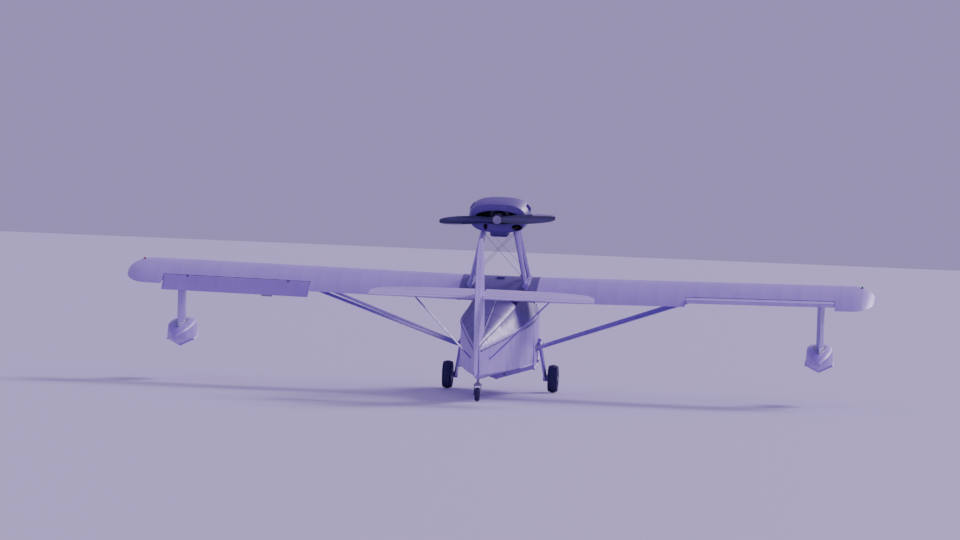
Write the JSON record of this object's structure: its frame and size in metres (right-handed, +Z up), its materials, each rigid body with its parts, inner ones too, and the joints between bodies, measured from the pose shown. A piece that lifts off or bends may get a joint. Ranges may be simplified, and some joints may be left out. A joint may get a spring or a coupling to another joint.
{
  "type": "amphibious flying boat",
  "caption": "Light two-seat amphibious flying boat on its wheels: stepped hull, strut-braced wing with tip floats, pusher engine on a pylon and braced tail.",
  "frame": {"origin": "on the ground at the centre of the parked aircraft's bounding box", "axes": "+Z up, +Y aft towards the tail, +X to port along the wing; the airframe stands 8 degrees nose up on its wheels"},
  "size_m": [11.093, 7.3054, 2.8957],
  "materials": {
    "hull_paint": "gloss marine paint on a plywood hull",
    "doped_fabric": "doped and painted fabric, taut",
    "indigo_paint": "dark gloss paint on ply and sheet metal",
    "strut_paint": "painted streamline steel tube",
    "clear_glazing": "clear acrylic sheet",
    "steel": "plated and brushed steel",
    "engine_metal": "dark heat-stained castings",
    "propeller_varnish": "dark painted laminated wood",
    "tyre_rubber": "matt black rubber",
    "seat_cloth": "woven upholstery",
    "panel_plastic": "black crackle finish"
  },
  "bodies": {
    "airframe": {"centre_section": "indigo_paint", "hull": "hull_paint", "cabin_frame": "indigo_paint", "windscreen_left": "clear_glazing", "windscreen_right": "clear_glazing", "aft_deck": "indigo_paint", "seat_left": "seat_cloth", "seat_right": "seat_cloth", "instrument_panel": "panel_plastic", "control_wheel_left": "panel_plastic", "control_wheel_right": "panel_plastic", "rudder_pedals": "steel", "wing_left": "doped_fabric", "lift_strut_front_left": "strut_paint", "lift_strut_rear_left": "strut_paint", "float_left": "hull_paint", "float_pylon_left": "strut_paint", "wing_right": "doped_fabric", "lift_strut_front_right": "strut_paint", "lift_strut_rear_right": "strut_paint", "float_right": "hull_paint", "float_pylon_right": "strut_paint", "pylon_frame_left": "strut_paint", "pylon_frame_right": "strut_paint", "cowl": "indigo_paint", "airbox": "indigo_paint", "engine_bed": "steel", "crankcase": "engine_metal", "cylinder_bank_left": "engine_metal", "cylinder_bank_right": "engine_metal", "exhaust_left": "engine_metal", "exhaust_right": "engine_metal", "fin": "hull_paint", "tailplane_left": "doped_fabric", "tail_strut_left": "strut_paint", "tailplane_right": "doped_fabric", "tail_strut_right": "strut_paint", "gear_leg_left": "strut_paint", "gear_leg_right": "strut_paint"},
    "propeller": {"propeller": "propeller_varnish"},
    "wheel_left": {"wheel_rim_left": "steel", "tyre_left": "tyre_rubber"},
    "wheel_right": {"wheel_rim_right": "steel", "tyre_right": "tyre_rubber"},
    "tail_steer": {"tail_fork": "steel"},
    "tail_wheel": {"tail_rim": "steel", "tail_tyre": "tyre_rubber"},
    "rudder": {"rudder": "hull_paint"},
    "elevator": {"elevator": "doped_fabric"},
    "aileron_left": {"aileron_left": "doped_fabric"},
    "aileron_right": {"aileron_right": "doped_fabric"},
    "door_left": {"door_left": "indigo_paint", "door_window_left": "clear_glazing"},
    "door_right": {"door_right": "indigo_paint", "door_window_right": "clear_glazing"}
  },
  "joints": [
    {"name": "propeller_spin", "type": "hinge", "parent": "airframe", "child": "propeller", "pos_m": [0, 0.14619, 2.56297], "axis": [0, 0.9903, -0.1392], "continuous": true},
    {"name": "wheel_left_spin", "type": "hinge", "parent": "airframe", "child": "wheel_left", "pos_m": [0.79, -1.71453, 0.20903], "axis": [1, 0, 0], "continuous": true},
    {"name": "wheel_right_spin", "type": "hinge", "parent": "airframe", "child": "wheel_right", "pos_m": [-0.79, -1.71453, 0.20903], "axis": [1, 0, 0], "continuous": true},
    {"name": "rudder_swing", "type": "hinge", "parent": "airframe", "child": "rudder", "pos_m": [0, 3.02377, 1.15883], "axis": [0, 0.1392, 0.9903], "range_deg": [-25, 25]},
    {"name": "tail_steer", "type": "hinge", "parent": "airframe", "child": "tail_steer", "pos_m": [0, 2.5281, 0.21866], "axis": [0, 0.1392, 0.9903], "range_deg": [-25, 25]},
    {"name": "tail_wheel_spin", "type": "hinge", "parent": "tail_steer", "child": "tail_wheel", "pos_m": [0, 2.57188, 0.09903], "axis": [1, 0, 0], "continuous": true},
    {"name": "elevator_swing", "type": "hinge", "parent": "airframe", "child": "elevator", "pos_m": [0, 2.64265, 1.46485], "axis": [1, 0, 0], "range_deg": [-30, 22]},
    {"name": "aileron_left_swing", "type": "hinge", "parent": "airframe", "child": "aileron_left", "pos_m": [2.78, -0.46975, 1.48451], "axis": [0.9999, 0.0018, 0.013], "range_deg": [0, 40]},
    {"name": "aileron_right_swing", "type": "hinge", "parent": "airframe", "child": "aileron_right", "pos_m": [-2.78, -0.46975, 1.48451], "axis": [0.9999, -0.0018, -0.013], "range_deg": [-40, 0]},
    {"name": "door_left_swing", "type": "hinge", "parent": "airframe", "child": "door_left", "pos_m": [0.338, -1.88159, 1.53518], "axis": [0, -0.9903, 0.1392], "range_deg": [0, 70]},
    {"name": "door_right_swing", "type": "hinge", "parent": "airframe", "child": "door_right", "pos_m": [-0.338, -1.88159, 1.53518], "axis": [0, 0.9903, -0.1392], "range_deg": [0, 70]}
  ],
  "couplings": [
    {"joint": "tail_steer", "follows": "rudder_swing", "ratio": 1},
    {"joint": "aileron_right_swing", "follows": "aileron_left_swing", "ratio": -1}
  ]
}
